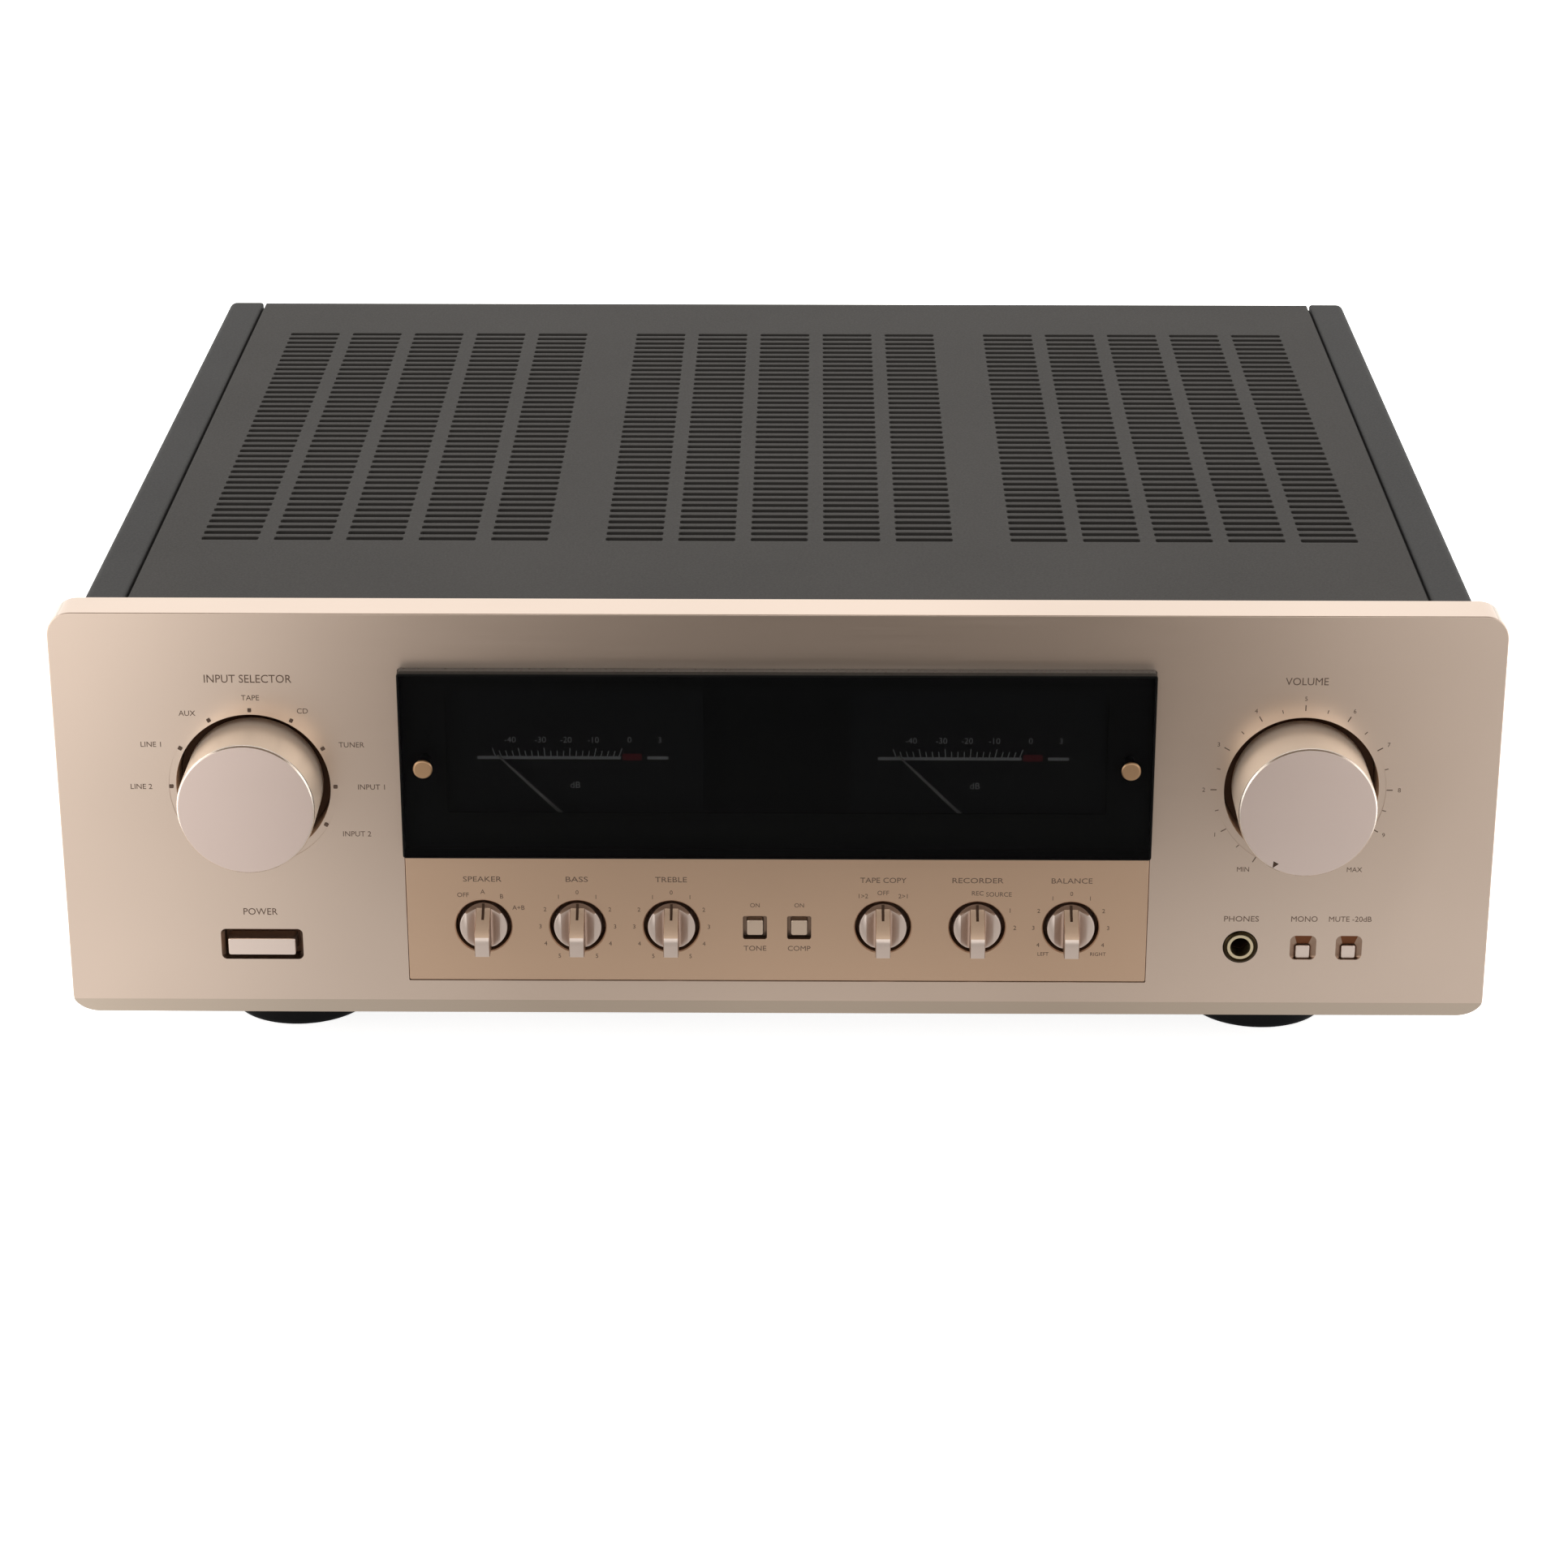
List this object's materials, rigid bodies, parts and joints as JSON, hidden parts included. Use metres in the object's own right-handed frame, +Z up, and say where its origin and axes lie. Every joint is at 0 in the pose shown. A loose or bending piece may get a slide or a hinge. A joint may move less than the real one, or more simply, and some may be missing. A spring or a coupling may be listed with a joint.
{
  "type": "integrated amplifier",
  "caption": "Wide metal hi-fi amplifier with two large turned knobs, a black meter window, a row of small tone knobs and a slotted cover.",
  "frame": {"origin": "on the supporting surface, under the middle of the bounding box", "axes": "+X to the right seen from the front, +Y towards the back, +Z up; the controls face -Y"},
  "size_m": [0.475, 0.422, 0.17],
  "materials": {
    "panel_gold": "pale gold anodised, fine brushed",
    "subpanel_gold": "deeper gold anodised, fine satin",
    "knob_gold": "pale gold anodised, turned and satin",
    "window_glass": "smoked clear, polished",
    "stud_brass": "satin",
    "side_grey": "fine satin, cool grey",
    "cover_grey": "fine satin, warm grey",
    "chassis_black": "matt black",
    "foot_black": "black, satin",
    "dial_black": "black printed card",
    "needle_white": "white",
    "socket_gold": "gold plated",
    "moulded_black": "moulded, satin",
    "cap_red": "moulded, red",
    "cap_black": "moulded, black",
    "board_green": "green solder mask",
    "sink_aluminium": "extruded",
    "can_steel": "plated can",
    "sleeve_blue": "dark blue sleeve"
  },
  "bodies": {
    "chassis": {"amplifier_board_left": "board_green", "amplifier_board_right": "board_green", "bottom_plate": "chassis_black", "control_subpanel": "subpanel_gold", "display_window": "window_glass", "filter_capacitor_left": "sleeve_blue", "filter_capacitor_right": "sleeve_blue", "foot_front_left": "foot_black", "foot_front_right": "foot_black", "foot_rear_left": "foot_black", "foot_rear_right": "foot_black", "front_panel": "panel_gold", "front_subchassis": "chassis_black", "headphone_jack": "moulded_black", "heat_sink_left": "sink_aluminium", "heat_sink_right": "sink_aluminium", "input_selector_switch": "can_steel", "mains_inlet": "moulded_black", "meter_dial_left": "dial_black", "meter_dial_right": "dial_black", "meter_movement_left": "moulded_black", "meter_movement_right": "moulded_black", "power_supply_board": "board_green", "power_switch": "moulded_black", "power_transformer": "can_steel", "preamp_board": "board_green", "rear_panel": "chassis_black", "side_panel_left": "side_grey", "side_panel_right": "side_grey", "signal_sockets": "socket_gold", "speaker_terminal_base_left": "moulded_black", "speaker_terminal_base_right": "moulded_black", "tone_control_board": "board_green", "top_cover": "cover_grey", "volume_potentiometer": "can_steel", "window_stud_left": "stud_brass", "window_stud_right": "stud_brass"},
    "input_selector": {"input_selector_knob": "knob_gold"},
    "volume": {"volume_knob": "knob_gold"},
    "speaker": {"speaker_knob": "knob_gold"},
    "bass": {"bass_knob": "knob_gold"},
    "treble": {"treble_knob": "knob_gold"},
    "tape_copy": {"tape_copy_knob": "knob_gold"},
    "recorder": {"recorder_knob": "knob_gold"},
    "balance": {"balance_knob": "knob_gold"},
    "power": {"power_button": "knob_gold"},
    "tone": {"tone_button": "knob_gold"},
    "compensator": {"compensator_button": "knob_gold"},
    "mono": {"mono_button": "knob_gold"},
    "attenuator": {"attenuator_button": "knob_gold"},
    "needle_left": {"meter_needle_left": "needle_white"},
    "needle_right": {"meter_needle_right": "needle_white"},
    "cap_left_a_negative": {"speaker_cap_left_a_negative": "cap_black"},
    "cap_left_a_positive": {"speaker_cap_left_a_positive": "cap_red"},
    "cap_left_b_negative": {"speaker_cap_left_b_negative": "cap_black"},
    "cap_left_b_positive": {"speaker_cap_left_b_positive": "cap_red"},
    "cap_right_a_negative": {"speaker_cap_right_a_negative": "cap_black"},
    "cap_right_a_positive": {"speaker_cap_right_a_positive": "cap_red"},
    "cap_right_b_negative": {"speaker_cap_right_b_negative": "cap_black"},
    "cap_right_b_positive": {"speaker_cap_right_b_positive": "cap_red"}
  },
  "joints": [
    {"name": "input_selector_turn", "type": "hinge", "parent": "chassis", "child": "input_selector", "pos_m": [-0.1728, -0.191, 0.10906], "axis": [0, 1, 0], "range_deg": [-90, 120]},
    {"name": "volume_turn", "type": "hinge", "parent": "chassis", "child": "volume", "pos_m": [0.1728, -0.191, 0.10906], "axis": [0, 1, 0], "range_deg": [0, 300]},
    {"name": "speaker_turn", "type": "hinge", "parent": "chassis", "child": "speaker", "pos_m": [-0.0982, -0.191, 0.05875], "axis": [0, 1, 0], "range_deg": [-30, 60]},
    {"name": "bass_turn", "type": "hinge", "parent": "chassis", "child": "bass", "pos_m": [-0.0667, -0.191, 0.05875], "axis": [0, 1, 0], "range_deg": [-150, 150]},
    {"name": "treble_turn", "type": "hinge", "parent": "chassis", "child": "treble", "pos_m": [-0.0353, -0.191, 0.05875], "axis": [0, 1, 0], "range_deg": [-150, 150]},
    {"name": "tape_copy_turn", "type": "hinge", "parent": "chassis", "child": "tape_copy", "pos_m": [0.0354, -0.191, 0.05875], "axis": [0, 1, 0], "range_deg": [-30, 30]},
    {"name": "recorder_turn", "type": "hinge", "parent": "chassis", "child": "recorder", "pos_m": [0.0669, -0.191, 0.05875], "axis": [0, 1, 0], "range_deg": [0, 90]},
    {"name": "balance_turn", "type": "hinge", "parent": "chassis", "child": "balance", "pos_m": [0.0982, -0.191, 0.05875], "axis": [0, 1, 0], "range_deg": [-150, 150]},
    {"name": "power_press", "type": "slide", "parent": "chassis", "child": "power", "axis": [0, 1, 0], "range_m": [0, 0.003], "stiffness_N_per_m": 300, "springref_m": -0.002},
    {"name": "tone_press", "type": "slide", "parent": "chassis", "child": "tone", "axis": [0, 1, 0], "range_m": [0, 0.002], "stiffness_N_per_m": 200, "springref_m": -0.001},
    {"name": "compensator_press", "type": "slide", "parent": "chassis", "child": "compensator", "axis": [0, 1, 0], "range_m": [0, 0.002], "stiffness_N_per_m": 200, "springref_m": -0.001},
    {"name": "mono_press", "type": "slide", "parent": "chassis", "child": "mono", "axis": [0, 1, 0], "range_m": [0, 0.002], "stiffness_N_per_m": 200, "springref_m": -0.001},
    {"name": "attenuator_press", "type": "slide", "parent": "chassis", "child": "attenuator", "axis": [0, 1, 0], "range_m": [0, 0.002], "stiffness_N_per_m": 200, "springref_m": -0.001},
    {"name": "needle_left_turn", "type": "hinge", "parent": "chassis", "child": "needle_left", "pos_m": [-0.0663, -0.191, 0.0918], "axis": [0, 1, 0], "range_deg": [0, 90], "stiffness_Nm_per_rad": 0.0001, "springref_deg": -11.46},
    {"name": "needle_right_turn", "type": "hinge", "parent": "chassis", "child": "needle_right", "pos_m": [0.0663, -0.191, 0.0918], "axis": [0, 1, 0], "range_deg": [0, 90], "stiffness_Nm_per_rad": 0.0001, "springref_deg": -11.46},
    {"name": "cap_left_a_negative_turn", "type": "hinge", "parent": "chassis", "child": "cap_left_a_negative", "pos_m": [-0.093, 0.19, 0.065], "axis": [0, 1, 0], "range_deg": [0, 540]},
    {"name": "cap_left_a_positive_turn", "type": "hinge", "parent": "chassis", "child": "cap_left_a_positive", "pos_m": [-0.118, 0.19, 0.065], "axis": [0, 1, 0], "range_deg": [0, 540]},
    {"name": "cap_left_b_negative_turn", "type": "hinge", "parent": "chassis", "child": "cap_left_b_negative", "pos_m": [-0.143, 0.19, 0.065], "axis": [0, 1, 0], "range_deg": [0, 540]},
    {"name": "cap_left_b_positive_turn", "type": "hinge", "parent": "chassis", "child": "cap_left_b_positive", "pos_m": [-0.168, 0.19, 0.065], "axis": [0, 1, 0], "range_deg": [0, 540]},
    {"name": "cap_right_a_negative_turn", "type": "hinge", "parent": "chassis", "child": "cap_right_a_negative", "pos_m": [0.093, 0.19, 0.065], "axis": [0, 1, 0], "range_deg": [0, 540]},
    {"name": "cap_right_a_positive_turn", "type": "hinge", "parent": "chassis", "child": "cap_right_a_positive", "pos_m": [0.118, 0.19, 0.065], "axis": [0, 1, 0], "range_deg": [0, 540]},
    {"name": "cap_right_b_negative_turn", "type": "hinge", "parent": "chassis", "child": "cap_right_b_negative", "pos_m": [0.143, 0.19, 0.065], "axis": [0, 1, 0], "range_deg": [0, 540]},
    {"name": "cap_right_b_positive_turn", "type": "hinge", "parent": "chassis", "child": "cap_right_b_positive", "pos_m": [0.168, 0.19, 0.065], "axis": [0, 1, 0], "range_deg": [0, 540]}
  ]
}
